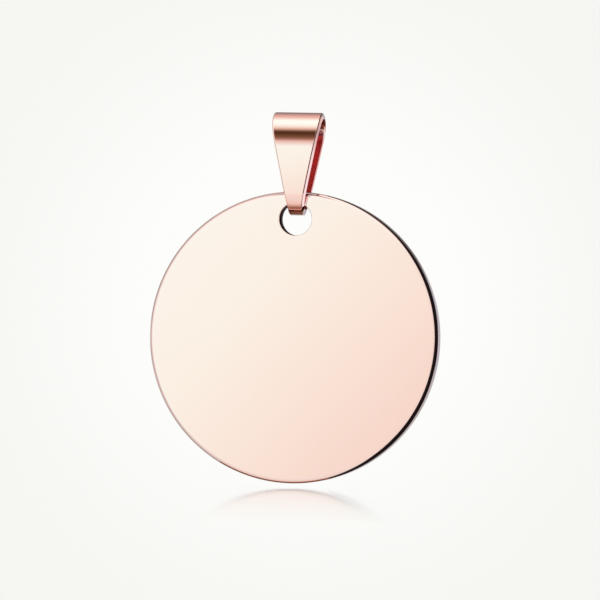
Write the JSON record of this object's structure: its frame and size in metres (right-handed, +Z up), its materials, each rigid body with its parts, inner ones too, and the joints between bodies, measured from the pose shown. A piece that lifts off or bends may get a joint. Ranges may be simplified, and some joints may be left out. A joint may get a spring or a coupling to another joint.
{
  "type": "disc pendant",
  "caption": "Round flat polished disc pendant with a drilled hole, hanging and swinging on a folded tapered strip bail.",
  "frame": {"origin": "underside of the bail's top bend, midway across its width, where the chain carries the pendant", "axes": "+X along the chain to the right as the pendant is seen from the front, -Y out of the disc's front face towards the viewer, +Z up"},
  "size_m": [0.025, 0.005, 0.0318],
  "materials": {
    "disc_metal": "mirror-polished rose-gold plate over stainless steel",
    "bail_metal": "mirror-polished rose-gold plate over stainless steel, warmer and less polished inside the fold"
  },
  "bodies": {
    "bail": {"bail": "bail_metal"},
    "disc": {"disc": "disc_metal"}
  },
  "joints": [
    {"name": "disc_swing", "type": "hinge", "parent": "bail", "child": "disc", "pos_m": [0, 0, -0.00635], "axis": [1, 0, 0], "range_deg": [-90, 90]}
  ]
}
